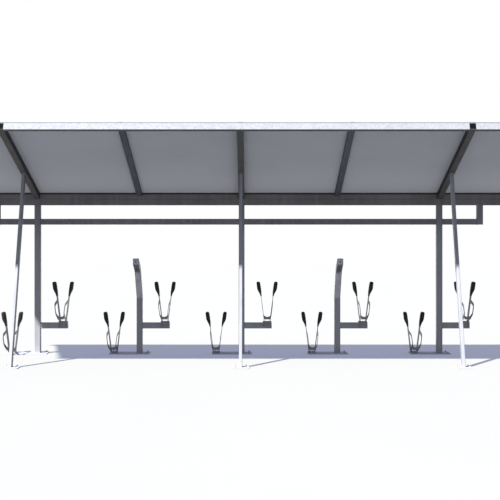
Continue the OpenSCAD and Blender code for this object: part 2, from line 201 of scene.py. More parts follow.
postLook = {
    "dark": tint(0.272, 0.280, 0.306), "light": tint(0.330, 0.338, 0.364),
    "dustTint": tint(0.40, 0.39, 0.38), "dustTop": 0.35, "dust": 0.35,
    "rough": 0.45, "gloss": 0.25,
    # colour of the painted shade
    "paintedShade": tint(0.05, 0.052, 0.06),
    "leeShade": 0.68,                                # how far painted shade covers the sheltered side
    "head": 0.5, "headShadeBand": (1.45, 2.05),      # and the upper end, under the roof
    "flankShade": 0.0,                               # and both sides
    "rubAndHighlight": 0.0,                               # wheels rub the leaning front, and a painted highlight lightens it there
}
plainLook = dict(postLook, head=0.0, leeShade=0.0)
standLook = dict(plainLook, rubAndHighlight=1.0, rubAndHighlightBand=(0.78, 1.12), rubAndHighlightTint=tint(0.62, 0.63, 0.68), soffitShade=0.6)
propLook = dict(plainLook, leeShade=0.92, dark=tint(0.285, 0.293, 0.316), light=tint(0.335, 0.343, 0.366))
capLook = dict(plainLook, dark=tint(0.47, 0.48, 0.51), light=tint(0.57, 0.58, 0.61))
plateLook = dict(plainLook, dark=tint(0.365, 0.381, 0.446), light=tint(0.44, 0.458, 0.53), dust=0.5)
# the head beam, rear edge, rail, rafters, slim rafters and verges take darker copies of the frame paint:
# painted shade under the roof
roofShadeLook = dict(plainLook, dark=tint(0.172, 0.168, 0.167), light=tint(0.220, 0.215, 0.213), dust=0.0,
                rough=0.65, gloss=0.08)
railShadeLook = dict(roofShadeLook, dark=tint(0.200, 0.199, 0.214), light=tint(0.248, 0.247, 0.265))
# rafters: painted shade on both sides as well
rafterShadeLook = dict(roofShadeLook, dark=tint(0.070, 0.069, 0.069), light=tint(0.095, 0.093, 0.092), flankShade=0.9,
                  paintedShade=tint(0.014, 0.015, 0.018))
slimShadeLook = dict(rafterShadeLook, dark=tint(0.082, 0.088, 0.106), light=tint(0.107, 0.114, 0.136))
postCoat = makeCoat("postCoat", postLook)
roofShadeCoat = makeCoat("roofShadeCoat", roofShadeLook)
rafterShadeCoat = makeCoat("rafterShadeCoat", rafterShadeLook)
railShadeCoat = makeCoat("railShadeCoat", railShadeLook)
slimShadeCoat = makeCoat("slimShadeCoat", slimShadeLook)
plateCoat = makeCoat("plateCoat", plateLook)
standCoat = makeCoat("standCoat", standLook)
propCoat = makeCoat("propCoat", propLook)
capCoat = makeCoat("capCoat", capLook)

sheetLook = {
    "under": tint(0.650, 0.680, 0.757), "underDark": tint(0.605, 0.632, 0.702),
    # colour, amount and band of the painted light at the rear of the underside
    "underPaintedLight": tint(0.86, 0.885, 0.95), "rearPaintedLight": 0.8, "rearPaintedLightBand": (-0.3, 0.95),
    "top": tint(0.135, 0.139, 0.150), "topStain": tint(0.108, 0.111, 0.118),
    "rough": 0.6, "gloss": 0.06,
    "cloud": (0.9, 5.0, 0.6), "run": ((22.0, 1.2, 1.2), 4.0, 0.6), "grain": (260.0, 3.0), "runShare": 0.5,
    "upward": (0.0, 0.4), "tone": (0.3, 0.7), "stain": (0.35, 0.62),
    "runRough": 0.16, "grainRough": 0.08, "bump": (0.12, 0.001),
}


# coated roof sheet: plain underside with painted light towards the rear, weathered top
def makeSheet(name, look):
    material, board, place = newFinish(name)
    upward = board.facing("Z").ramp(*look["upward"])
    back = board.split(place, "Y").ramp(*look["rearPaintedLightBand"])
    cloud = board.noise(place, *look["cloud"])
    run = board.streaks(place, *look["run"])
    grain = board.noise(place, *look["grain"])
    share = look["runShare"]
    under = board.blend(cloud.ramp(*look["tone"]), look["underDark"], look["under"])
    # painted light: the underside turns lighter towards the rear, against the shade there
    under = board.blend(back * look["rearPaintedLight"], under, look["underPaintedLight"])
    stain = (cloud * (1.0 - share) + run * share).ramp(*look["stain"])
    top = board.blend(stain, look["topStain"], look["top"])
    closeFinish(board, {
        "Base Color": board.blend(upward, under, top),
        "Roughness": look["rough"] + look["runRough"] * run.sway() + look["grainRough"] * grain.sway(),
        "Normal": board.bump(grain * (1.0 - share) + run * share, *look["bump"]),
        "Specular IOR Level": look["gloss"],
    })
    return material


roofSheet = makeSheet("roofSheet", sheetLook)
stripLook = dict(sheetLook, top=tint(0.178, 0.182, 0.193), topStain=tint(0.125, 0.127, 0.132))
stripSheet = makeSheet("stripSheet", stripLook)

zincLook = {
    "pale": tint(0.312, 0.319, 0.339), "deep": tint(0.250, 0.256, 0.274),
    # colour and share of the painted shade on downward faces
    "paintedShade": tint(0.055, 0.057, 0.064), "soffitShade": 0.92, "below": (0.5, 0.9),
    "crystals": 62.0, "fleck": (210.0, 3.0), "cloud": (2.4, 4.0),
    "cellShare": 0.45, "fleckShare": 0.3, "cloudShare": 0.25, "tone": (0.25, 0.75),
    "rough": 0.55, "cellRough": 0.16, "metal": 0.08, "gloss": 0.1, "bump": (0.08, 0.0004),
}


# galvanised sheet with fine crystals and painted shade on downward faces
def makeZinc(name, look):
    material, board, place = newFinish(name)
    below = (0.0 - board.facing("Z")).ramp(*look["below"])
    cell = board.cells(place, look["crystals"], "Color")
    shade = board.make("ShaderNodeSeparateColor", {}, {"Color": cell}, "Red")
    fleck = board.noise(place, *look["fleck"])
    cloud = board.noise(place, *look["cloud"])
    tone = shade * look["cellShare"] + fleck * look["fleckShare"] + cloud * look["cloudShare"]
    skin = board.blend(tone.ramp(*look["tone"]), look["deep"], look["pale"])
    closeFinish(board, {
        # painted shade on downward faces, such as the lip under the edge
        "Base Color": board.blend(below * look["soffitShade"], skin, look["paintedShade"]),
        "Roughness": look["rough"] + look["cellRough"] * shade.sway(),
        "Metallic": look["metal"] * shade,
        "Normal": board.bump(fleck, *look["bump"]),
        "Specular IOR Level": look["gloss"],
    })
    return material


frontZinc = makeZinc("frontZinc", zincLook)

steelLook = {
    "dark": tint(0.066, 0.068, 0.078), "bright": tint(0.118, 0.121, 0.136),
    # share and colour of the painted shade on both sides of the bars
    "flankShade": 0.6, "side": (0.6, 0.9), "paintedShade": tint(0.026, 0.028, 0.036),
    "rubTint": tint(0.205, 0.209, 0.228), "saddleAt": 0.7944,
    "saddleBand": (2e-5, 3.6e-5), "rubLeast": 0.6,      # squared distances from the saddle bars' line
    "dustTint": tint(0.46, 0.465, 0.49), "dustBand": (0.028, 0.05), "dust": 0.9, "dustLeast": 0.7,
    "cloud": (9.0, 4.0), "fleck": (140.0, 3.0), "rub": ((260.0, 260.0, 18.0), 2.0),
    "cloudShare": 0.5, "fleckShare": 0.25, "rubShare": 0.25, "tone": (0.35, 0.65),
    "metal": 0.25, "fleckMetal": 0.15, "rough": 0.46, "rubRough": 0.2, "cloudRough": 0.12,
    "gloss": 0.2, "bumpShare": 0.5, "bump": (0.1, 0.0004),
}


# drawn steel with a dull plated skin, dusty feet, rubbed saddle bars and painted shade on both sides of the
# bars
def makeSteel(name, look):
    material, board, place = newFinish(name)
    cloud = board.noise(place, *look["cloud"])
    fleck = board.noise(place, *look["fleck"])
    rub = board.streaks(place, *look["rub"])
    mixed = cloud * look["cloudShare"] + fleck * look["fleckShare"] + rub * look["rubShare"]
    tone = mixed.ramp(*look["tone"])
    height = board.split(place, "Z")
    powder = look["dustLeast"] + (1.0 - look["dustLeast"]) * cloud
    dust = (1.0 - height.ramp(*look["dustBand"])) * powder * look["dust"]
    away = height.side("Y") - look["saddleAt"]
    shine = look["rubLeast"] + (1.0 - look["rubLeast"]) * tone
    rubbed = (1.0 - (away * away).ramp(*look["saddleBand"])) * shine
    sideways = board.facing("X")
    skin = board.blend(tone, look["dark"], look["bright"])
    # painted shade on both sides of the bars
    skin = board.blend((sideways * sideways).ramp(*look["side"]) * look["flankShade"], skin, look["paintedShade"])
    skin = board.blend(rubbed, skin, look["rubTint"])
    share = look["bumpShare"]
    closeFinish(board, {
        "Base Color": board.blend(dust, skin, look["dustTint"]),
        "Metallic": look["metal"] - look["fleckMetal"] * fleck,
        "Roughness": look["rough"] + look["rubRough"] * rub.sway() + look["cloudRough"] * cloud.sway(),
        "Normal": board.bump(rub * share + fleck * (1.0 - share), *look["bump"]),
        "Specular IOR Level": look["gloss"],
    })
    return material


bracketLook = dict(steelLook, dustBand=(0.444, 0.456), dustTint=tint(0.215, 0.219, 0.24))
boltLook = dict(steelLook, dark=tint(0.37, 0.376, 0.40), bright=tint(0.50, 0.508, 0.54), metal=0.4, rough=0.5,
                dust=0.3, flankShade=0.0)
holderSteel = makeSteel("holderSteel", steelLook)
bracketSteel = makeSteel("bracketSteel", bracketLook)
boltZinc = makeSteel("boltZinc", boltLook)

rubberLook = {
    "black": tint(0.0075, 0.0075, 0.0085), "bloom": tint(0.022, 0.022, 0.025),
    "cloud": (14.0, 3.0), "grain": (900.0, 2.0), "pores": 420.0, "bloomBand": (0.45, 0.8),
    "rough": 0.62, "cloudRough": 0.2, "grainRough": 0.1, "gloss": 0.2, "poreShare": 0.6, "bump": (0.25, 0.0005),
}


# moulded rubber with a matt grain and a faint grey bloom
def makeRubber(name, look):
    material, board, place = newFinish(name)
    cloud = board.noise(place, *look["cloud"])
    grain = board.noise(place, *look["grain"])
    pore = board.cells(place, look["pores"], "Distance")
    share = look["poreShare"]
    closeFinish(board, {
        "Base Color": board.blend(cloud.ramp(*look["bloomBand"]), look["black"], look["bloom"]),
        "Roughness": look["rough"] + look["cloudRough"] * cloud.sway() + look["grainRough"] * grain.sway(),
        "Normal": board.bump(pore * share + grain * (1.0 - share), *look["bump"]),
        "Specular IOR Level": look["gloss"],
    })
    return material


plugLook = dict(rubberLook, black=tint(0.003, 0.003, 0.0035), bloom=tint(0.006, 0.006, 0.007), rough=0.85,
                gloss=0.06)
gripRubber = makeRubber("gripRubber", rubberLook)
plugPlastic = makeRubber("plugPlastic", plugLook)
print("finishes made")

# a node takes the finish of the longest stem that its name starts with
finishOf = {
    "roof_panels": roofSheet, "seam_strips": stripSheet, "front_edge": frontZinc,
    "rear_edge": roofShadeCoat, "head_beam": roofShadeCoat, "rear_rail": railShadeCoat,
    "rafter": rafterShadeCoat, "slim_rafter": slimShadeCoat, "verge": slimShadeCoat,
    "post": postCoat, "hanger": postCoat, "arm": postCoat, "stand": standCoat, "prop": propCoat,
    "prop_foot": plateCoat, "base_plate": plateCoat,
    "low_holder": holderSteel, "high_holder": bracketSteel, "grips": gripRubber,
}
for name, node in nodes.items():
    stem = max((s for s in finishOf if name.startswith(s)), key=len)
    node.data.materials.clear()
    node.data.materials.append(finishOf[stem])
print("finishes given to the frame")


def middle(name):
    low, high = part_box(name)
    return [(low[k] + high[k]) / 2 for k in range(3)]


# places read from the frame
columns = ["post_left", "stand_left", "post_middle", "stand_right", "post_right"]
rowNumbers = range(1, len(columns) + 1)
columnX = [middle(name)[0] for name in columns]
postFront, postBack = [corner[1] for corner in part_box("post_left")]
postY = (postFront + postBack) / 2
postHalf = (postBack - postFront) / 2
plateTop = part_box("base_plate_1")[1][2]
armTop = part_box("arm_1")[1][2]
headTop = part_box("head_beam")[1][2]
holderX = {level: [middle(f"{level}_holder_{i}")[0] for i in rowNumbers] for level in ("low", "high")}
holderRows = [(x, base) for level, base in (("low", plateTop), ("high", armTop)) for x in holderX[level]]
holder = {
    "cheek": 0.006, "foot": 0.018, "footGap": 0.078, "length": 0.559, "spread": 0.0695, "grip": 0.200,
    "barThick": 0.006, "barDeep": 0.090,
}
holder["lean"] = math.atan(holder["spread"] / holder["length"])
slope = {"angle": math.radians(19.5), "rafter": 0.080, "panel": 0.012, "strip": 0.004}
slope["length"] = (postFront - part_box("front_edge")[0][1]) / math.cos(slope["angle"])
slope["frame"] = Matrix.Translation((0.0, postFront, headTop)) @ Matrix.Rotation(-slope["angle"], 4, "X")
slope["plumb"] = slope["rafter"] / math.cos(slope["angle"])
acrossX = Matrix.Rotation(math.radians(90), 4, "Y")
acrossY = Matrix.Rotation(math.radians(90), 4, "X")
up = Vector((0.0, 0.0, 1.0))


# one finished mesh object that rides on the frame
def addPiece(name, mesh, finish):
    piece = bpy.data.objects.new(name, mesh)
    bpy.context.scene.collection.objects.link(piece)
    if finish is not None:
        mesh.materials.clear()
        mesh.materials.append(finish)
    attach(piece, "root")
    return piece


# closed shell through rings of points, capped at both ends
def loftRings(shell, rings):
    loops = [[shell.verts.new(point) for point in ring] for ring in rings]
    size = len(loops[0])
    for low, high in zip(loops, loops[1:]):
        for k in range(size):
            after = (k + 1) % size
            shell.faces.new((low[k], low[after], high[after], high[k]))
    shell.faces.new(loops[0])
    shell.faces.new(loops[-1])


def mergeShell(shell, distance=1e-6):
    bmesh.ops.remove_doubles(shell, verts=shell.verts, dist=distance)
    bmesh.ops.recalc_face_normals(shell, faces=shell.faces)


def addShell(name, shell, finish):
    mesh = bpy.data.meshes.new(name)
    shell.to_mesh(mesh)
    shell.free()
    return addPiece(name, mesh, finish)


# runs a geometry tree once on a source mesh and keeps the plain result
def growMesh(name, source, tree, values):
    carrier = bpy.data.objects.new(name + "Source", source)
    bpy.context.scene.collection.objects.link(carrier)
    modifier = carrier.modifiers.new("grow", "NODES")
    modifier.node_group = tree
    for item in tree.interface.items_tree:
        if item.item_type == "SOCKET" and item.in_out == "INPUT" and item.name in values:
            modifier[item.identifier] = values[item.name]
    graph = bpy.context.evaluated_depsgraph_get()
    mesh = bpy.data.meshes.new_from_object(carrier.evaluated_get(graph))
    mesh.name = name
    carrier.modifiers.remove(modifier)
    bpy.data.objects.remove(carrier)
    bpy.data.meshes.remove(source)
    return mesh


def startTree(name, inputs):
    tree = bpy.data.node_groups.new(name, "GeometryNodeTree")
    tree.interface.new_socket("Geometry", in_out="INPUT", socket_type="NodeSocketGeometry")
    for label, kind in inputs.items():
        tree.interface.new_socket(label, in_out="INPUT", socket_type="NodeSocket" + kind)
    tree.interface.new_socket("Geometry", in_out="OUTPUT", socket_type="NodeSocketGeometry")
    board = Board(tree)
    entry = board.make("NodeGroupInput", {}, {}, "Geometry")
    return tree, board, entry


def endTree(board, geometry, material):
    solid = board.make("GeometryNodeRealizeInstances", {}, {"Geometry": geometry})
    painted = board.make("GeometryNodeSetMaterial", {}, {"Geometry": solid, "Material": material})
    board.make("NodeGroupOutput", {}, {"Geometry": painted})


# points that carry the way their fixing looks
def aimedPoints(name, spots):
    mesh = bpy.data.meshes.new(name)
    mesh.from_pydata([tuple(spot) for spot, aim in spots], [], [])
    way = mesh.attributes.new("aim", "FLOAT_VECTOR", "POINT")
    for item, (spot, aim) in zip(way.data, spots):
        item.vector = aim
    return mesh


fixingShape = {
    "washerSides": 24, "headSides": 6, "studSides": 16,
    "crownSides": 18, "crownTop": 0.62, "crownFoot": 0.86, "crownTall": 0.1,     # shares of the head
}


# washer, hexagon and a stud end, set on every aimed point
def makeFixingTree():
    labels = ["Head Radius", "Head Height", "Washer Radius", "Washer Height", "Stud Radius", "Stud Height"]
    inputs = dict({label: "Float" for label in labels}, Seed="Int", Finish="Material")
    tree, board, entry = startTree("fixings", inputs)
    sizes = [entry.side(label) for label in labels]
    headRadius, headTall, washerRadius, washerTall, studRadius, studTall = sizes
    f = fixingShape

    def lifted(body, z):
        lift = board.make("ShaderNodeCombineXYZ", {}, {"Z": z})
        return board.make("GeometryNodeTransform", {}, {"Geometry": body, "Translation": lift})

    def drum(radius, tall, sides, base):
        body = board.make("GeometryNodeMeshCylinder", {}, {"Vertices": sides, "Radius": radius, "Depth": tall})
        return lifted(body, base + tall * 0.5)

    nutTop = washerTall + headTall
    washer = drum(washerRadius, washerTall, f["washerSides"], 0.0)
    head = drum(headRadius, headTall, f["headSides"], washerTall)
    crown = lifted(board.make("GeometryNodeMeshCone", {}, {
        "Vertices": f["crownSides"], "Radius Top": headRadius * f["crownTop"],
        "Radius Bottom": headRadius * f["crownFoot"], "Depth": headTall * f["crownTall"],
    }), nutTop)
    stud = drum(studRadius, studTall, f["studSides"], nutTop)
    joined = board.make("GeometryNodeJoinGeometry")
    for part in (washer, head, crown, stud):
        board.tree.links.new(part.socket, joined.socket.node.inputs[0])
    readAim = {"data_type": "FLOAT_VECTOR"}
    aim = board.make("GeometryNodeInputNamedAttribute", readAim, {"Name": "aim"}, "Attribute")
    turn = board.make("FunctionNodeAlignRotationToVector", {"axis": "Z"}, {"Vector": aim})
    sockets = {"Points": entry, "Instance": joined, "Rotation": turn}
    spread = board.make("GeometryNodeInstanceOnPoints", {}, sockets)
    sockets = {2: 0.0, 3: 2.0 * math.pi, "Seed": entry.side("Seed")}
    spin = board.make("FunctionNodeRandomValue", {"data_type": "FLOAT"}, sockets, 1)
    around = board.make("ShaderNodeCombineXYZ", {}, {"Z": spin})
    sockets = {"Instances": spread, "Rotation": around, "Local Space": True}
    endTree(board, board.make("GeometryNodeRotateInstances", {}, sockets), entry.side("Finish"))
    return tree


fixingTree = makeFixingTree()


def setFixings(name, spots, sizes, finish):
    mesh = growMesh(name, aimedPoints(name + "Points", spots), fixingTree, dict(sizes, Finish=finish))
    return addPiece(name, mesh, None)


anchorNuts = {
    "inset": 0.035,
    "sizes": {
        "Head Radius": 0.0110, "Head Height": 0.010, "Washer Radius": 0.0145, "Washer Height": 0.0028,
        "Stud Radius": 0.0058, "Stud Height": 0.010, "Seed": 3,
    },
}
groundPlates = [f"base_plate_{i}" for i in rowNumbers]
groundPlates += ["prop_foot_" + side for side in ("left", "middle", "right")]
spots = []
for name in groundPlates:
    low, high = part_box(name)
    for x in (low[0] + anchorNuts["inset"], high[0] - anchorNuts["inset"]):
        for y in (low[1] + anchorNuts["inset"], high[1] - anchorNuts["inset"]):
            spots.append(((x, y, high[2]), up))
setFixings("anchorNuts", spots, anchorNuts["sizes"], boltZinc)

# through the cheeks that straddle an arm, on both sides
bracketBolts = {
    "spread": 0.041,
    "drop": 0.034,
    "sizes": {
        "Head Radius": 0.0098, "Head Height": 0.0075, "Washer Radius": 0.0125, "Washer Height": 0.0022,
        "Stud Radius": 0.004, "Stud Height": 0.002, "Seed": 5,
    },
}
spots = []
for x in holderX["high"]:
    for shift in (-bracketBolts["spread"], bracketBolts["spread"]):
        for way in (-1.0, 1.0):
            y = postY + way * (postHalf + holder["cheek"])
            spots.append(((x + shift, y, armTop - bracketBolts["drop"]), Vector((0.0, way, 0.0))))
setFixings("bracketBolts", spots, bracketBolts["sizes"], bracketSteel)

footBolts = {
    "spread": 0.014,
    "back": 0.008,
    "sizes": {
        "Head Radius": 0.0075, "Head Height": 0.0055, "Washer Radius": 0.0095, "Washer Height": 0.0016,
        "Stud Radius": 0.003, "Stud Height": 0.0008, "Seed": 8,
    },
}
spots = []
for x in holderX["low"]:
    for shift in (-footBolts["spread"], footBolts["spread"]):
        spots.append(((x + shift, postY + footBolts["back"], plateTop + holder["foot"]), up))
setFixings("footBolts", spots, footBolts["sizes"], holderSteel)
print("fixings set")

# roofing screws down every seam strip, and through the sheets over the verges
roofScrews = {
    "pitch": 0.34,
    "inset": 0.12,
    "sizes": {
        "Head Radius": 0.0052, "Head Height": 0.005, "Washer Radius": 0.0085, "Washer Height": 0.002,
        "Stud Radius": 0.002, "Stud Height": 0.0003, "Seed": 11,
    },
}
sheetTop = slope["rafter"] + slope["panel"]
screwRows = [(x, sheetTop + slope["strip"]) for x in columnX]
screwRows += [(middle(verge)[0], sheetTop) for verge in ("verge_left", "verge_right")]
aim = slope["frame"].to_3x3() @ up
screwRun = slope["length"] - 2 * roofScrews["inset"]
count = int(screwRun / roofScrews["pitch"]) + 1
spots = []
for x, level in screwRows:
    for k in range(count):
        along = -slope["length"] + roofScrews["inset"] + k * screwRun / (count - 1)
        spots.append((slope["frame"] @ Vector((x, along, level)), aim))
setFixings("roofScrews", spots, roofScrews["sizes"], boltZinc)
print("roof screws set")


# rippled bead along the edges of a source mesh
def makeBeadTree(sides):
    inputs = {"Radius": "Float", "Pitch": "Float", "Ripple": "Float", "Step": "Float", "Finish": "Material"}
    tree, board, entry = startTree("weldBead", inputs)
    line = board.make("GeometryNodeMeshToCurve", {}, {"Mesh": entry})
    sockets = {"Curve": line, "Length": entry.side("Step")}
    even = board.make("GeometryNodeResampleCurve", {"mode": "LENGTH"}, sockets)
    run = board.make("GeometryNodeSplineParameter", {}, {}, "Length")
    phase = run * (2.0 * math.pi) / entry.side("Pitch")
    wave = board.make("ShaderNodeMath", {"operation": "SINE"}, {0: phase})
    size = entry.side("Radius") * (1.0 + entry.side("Ripple") * wave)
    sockets = {"Resolution": sides, "Radius": 1.0}
    ring = board.make("GeometryNodeCurvePrimitiveCircle", {"mode": "RADIUS"}, sockets)
    sockets = {"Curve": even, "Profile Curve": ring, "Scale": size, "Fill Caps": False}
    bead = board.make("GeometryNodeCurveToMesh", {}, sockets)
    smooth = board.make("GeometryNodeSetShadeSmooth", {}, {"Geometry": bead})
    endTree(board, smooth, entry.side("Finish"))
    return tree


# closed outline of a rounded rectangle in the XY plane of a frame
def roundedLoop(place, wide, deep, corner, steps=4):
    points = []
    for quarter, (sx, sy) in enumerate(((1, 1), (-1, 1), (-1, -1), (1, -1))):
        centre = Vector((sx * (wide / 2 - corner), sy * (deep / 2 - corner), 0.0))
        for k in range(steps + 1):
            turn = (quarter + k / steps) * math.pi / 2
            points.append(place @ (centre + corner * Vector((math.cos(turn), math.sin(turn), 0.0))))
    return points


weldBeads = {
    "tube": 0.080, "corner": 0.007, "propWide": 0.040, "propDeep": 0.080, "propLean": math.radians(16.9),
    "barPlay": 0.0004, "barCorner": 0.002, "barSteps": 2, "sides": 8, "shortest": 1e-6,
    "sizes": {"Radius": 0.0032, "Pitch": 0.0075, "Ripple": 0.16, "Step": 0.0025},
}
loops = []


def addLoop(place, wide, deep):
    loops.append(roundedLoop(place, wide, deep, weldBeads["corner"]))


# columns on their plates, arms on their columns
tube = weldBeads["tube"]
for x in columnX:
    addLoop(Matrix.Translation((x, postY, plateTop)), tube, tube)
    addLoop(Matrix.Translation((x + tube / 2, postY, middle("arm_1")[2])) @ acrossX, tube, tube)
# props on their plates and under the rafters
lean = weldBeads["propLean"]
propWide, propDeep = weldBeads["propWide"], weldBeads["propDeep"] / math.cos(lean)
headDeep = weldBeads["propDeep"] / math.cos(slope["angle"] - lean)
reach = (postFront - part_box("prop_left")[1][1] + propDeep / 2) / math.cos(slope["angle"])
footY = middle("prop_foot_left")[1] + plateTop * math.tan(lean)
for side in ("left", "middle", "right"):
    x = middle("prop_" + side)[0]
    addLoop(Matrix.Translation((x, footY, plateTop)), propWide, propDeep)
    addLoop(slope["frame"] @ Matrix.Translation((x, -reach, 0.0)), propWide, headDeep)
# rail between the hangers and posts, then both under the head beam
railZ = middle("rear_rail")[2]
posts = [columnX[0], columnX[2], columnX[4]]
hangers = [middle("hanger_left")[0], middle("hanger_right")[0]]
for x, ways in [(hangers[0], (1,))] + [(x, (-1, 1)) for x in posts] + [(hangers[1], (-1,))]:
    for way in ways:
        addLoop(Matrix.Translation((x + way * tube / 2, postY, railZ)) @ acrossX, tube, tube)
for x in hangers + posts:
    addLoop(Matrix.Translation((x, postY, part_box("head_beam")[0][2])), tube, tube)
# main rafters against the rear edge
for name in ("rafter_left", "rafter_middle", "rafter_right"):
    spot = (middle(name)[0], postFront, headTop + slope["plumb"] / 2)
    addLoop(Matrix.Translation(spot) @ acrossY, tube, slope["plumb"])
# flat bars on the holders' feet
barWide = holder["barThick"] + weldBeads["barPlay"]
barOut = holder["footGap"] / 2 + holder["foot"] / 2 * math.tan(holder["lean"])
for x, base in holderRows:
    for way in (-1, 1):
        place = Matrix.Translation((x + way * barOut, postY, base + holder["foot"]))
        corner, steps = weldBeads["barCorner"], weldBeads["barSteps"]
        loops.append(roundedLoop(place, barWide, holder["barDeep"], corner, steps))
beadLines = bpy.data.meshes.new("beadLines")
points, edges = [], []
for loop in loops:
    start = len(points)
    kept = [p for k, p in enumerate(loop) if (p - loop[k - 1]).length > weldBeads["shortest"]]
    points += [tuple(p) for p in kept]
    edges += [(start + k, start + (k + 1) % len(kept)) for k in range(len(kept))]
beadLines.from_pydata(points, edges, [])
beadTree = makeBeadTree(weldBeads["sides"])
addPiece("weldBeads", growMesh("weldBeads", beadLines, beadTree, dict(weldBeads["sizes"], Finish=postCoat)),
         None)
print("weld beads run:", len(loops), "loops")

gripShape = {
    "length": 0.203, "wide": 0.054, "deep": 0.104, "inside": 0.013, "neck": 0.009, "shoulder": 0.115,
    "root": 0.96, "nod": 0.005, "flare": 0.022, "top": 0.019, "corner": 0.024, "power": 3.0,
    "ribs": 8, "ribDeep": 0.0013, "ribLow": 0.085, "ribHigh": 0.172, "ribPower": 3, "ribSide": 0.4,
    "sides": 40, "rings": 96, "crowding": 1.35, "cap": 0.0004, "merge": 1e-5,
}


# how far a rounding of this radius pulls in at a depth past its start
def pulledIn(radius, past):
    return radius - math.sqrt(max(radius ** 2 - past ** 2, 0.0))


# half sizes of a grip at a height over its lower end
def gripAt(z):
    g = gripShape
    grow = min(1.0, z / g["shoulder"])
    swell = grow * grow * (3 - 2 * grow)
    bend = max(0.0, (z - g["shoulder"]) / (g["length"] - g["shoulder"]))
    inner = -(g["neck"] + (g["inside"] - g["neck"]) * min(1.0, 2 * swell)) + g["nod"] * bend ** 2
    outer = g["neck"] + (g["wide"] - g["inside"] - g["neck"]) * swell
    half = g["deep"] / 2 * (g["root"] + (1 - g["root"]) * swell)
    overTop = z - (g["length"] - g["top"])
    if overTop > 0:
        cut = pulledIn(g["top"], overTop)
        inner, outer = inner + cut, outer - cut
    overCorner = z - (g["length"] - g["corner"])
    if overCorner > 0:
        half = min(half, g["deep"] / 2 - pulledIn(g["corner"], overCorner))
    return inner, outer, half


def gripRing(z):
    g = gripShape
    inner, outer, half = gripAt(z)
    if g["ribLow"] < z < g["ribHigh"]:
        phase = (z - g["ribLow"]) / (g["ribHigh"] - g["ribLow"]) * g["ribs"]
        dip = g["ribDeep"] * (0.5 - 0.5 * math.cos(2 * math.pi * phase)) ** g["ribPower"]
        half -= dip
        inner, outer = inner + dip * g["ribSide"], outer - dip * g["ribSide"]
    # the inner side lies flat on the bar, the outer side swells towards the front
    wide, centre = (outer - inner) / 2, (outer + inner) / 2
    flare = g["flare"] * min(1.0, z / g["shoulder"]) ** 2
    points = []
    power = 2.0 / g["power"]
    for k in range(g["sides"]):
        turn = 2 * math.pi * k / g["sides"]
        c, s = math.cos(turn), math.sin(turn)
        across, along = abs(c) ** power, math.copysign(abs(s) ** power, s)
        if c > 0:
            points.append(Vector((centre + wide * across, half * along - flare * (1 - abs(along)), z)))
        else:
            points.append(Vector((centre - wide * across, half * along, z)))
    return points


# rings crowd together towards the crown
def gripHeights():
    g = gripShape
    heights = [g["length"] * (1 - (1 - k / g["rings"]) ** g["crowding"]) for k in range(g["rings"])]
    return heights + [g["length"] - g["cap"]]


gripRings = [gripRing(z) for z in gripHeights()]
for i in rowNumbers:
    shell = bmesh.new()
    for x, base in ((holderX["low"][i - 1], plateTop), (holderX["high"][i - 1], armTop)):
        for way in (-1, 1):
            place = (Matrix.Translation((x + way * holder["footGap"] / 2, postY, base + holder["foot"] / 2))
                     @ Matrix.Rotation(way * holder["lean"], 4, "Y")
                     @ Matrix.Translation((0.0, 0.0, holder["length"] - holder["grip"])))
            loftRings(shell, [[place @ Vector((way * p.x, p.y, p.z)) for p in ring] for ring in gripRings])
    mergeShell(shell, gripShape["merge"])
    for face in shell.faces:
        face.smooth = len(face.verts) < 5
    piece = addShell(f"rubberGrips{i}", shell, gripRubber)
    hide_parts(f"grips_{i}")
print("grips shaped")

# web plate under the curved saddle bar of every holder, straight along its lower edge
saddleWeb = {
    "reach": 0.1981, "centre": 0.153, "round": 0.080, "low": 0.0577, "half": 0.0505, "foot": 0.044,
    "corner": 0.008, "thick": 0.007, "edge": 0.0008, "edgeSteps": 2, "arcSteps": 12, "cornerSteps": 4,
}


def webOutline():
    w = saddleWeb
    spread = math.asin(w["half"] / w["round"])
    points = []
    for k in range(w["arcSteps"] + 1):
        turn = spread * (1 - 2 * k / w["arcSteps"])
        points.append((w["round"] * math.sin(turn), w["centre"] - w["round"] * math.cos(turn)))
    inset = w["foot"] - w["corner"]
    for way, start in ((-1, math.pi), (1, 1.5 * math.pi)):
        for k in range(w["cornerSteps"] + 1):
            turn = start + k / w["cornerSteps"] * math.pi / 2
            across = way * inset + w["corner"] * math.cos(turn)
            points.append((across, w["low"] + w["corner"] * (1 + math.sin(turn))))
    return points


shell = bmesh.new()
outline = webOutline()
for x, base in holderRows:
    faces = [postY - saddleWeb["reach"] + way * saddleWeb["thick"] / 2 for way in (-1, 1)]
    loftRings(shell, [[(x + across, y, base + rise) for across, rise in outline] for y in faces])
bmesh.ops.recalc_face_normals(shell, faces=shell.faces)
rims = [edge for edge in shell.edges if max(len(face.verts) for face in edge.link_faces) > 4]
bmesh.ops.bevel(shell, geom=rims, offset=saddleWeb["edge"], segments=saddleWeb["edgeSteps"], affect="EDGES",
                profile=0.5)
addShell("saddleWebs", shell, holderSteel)
print("saddle webs cut")

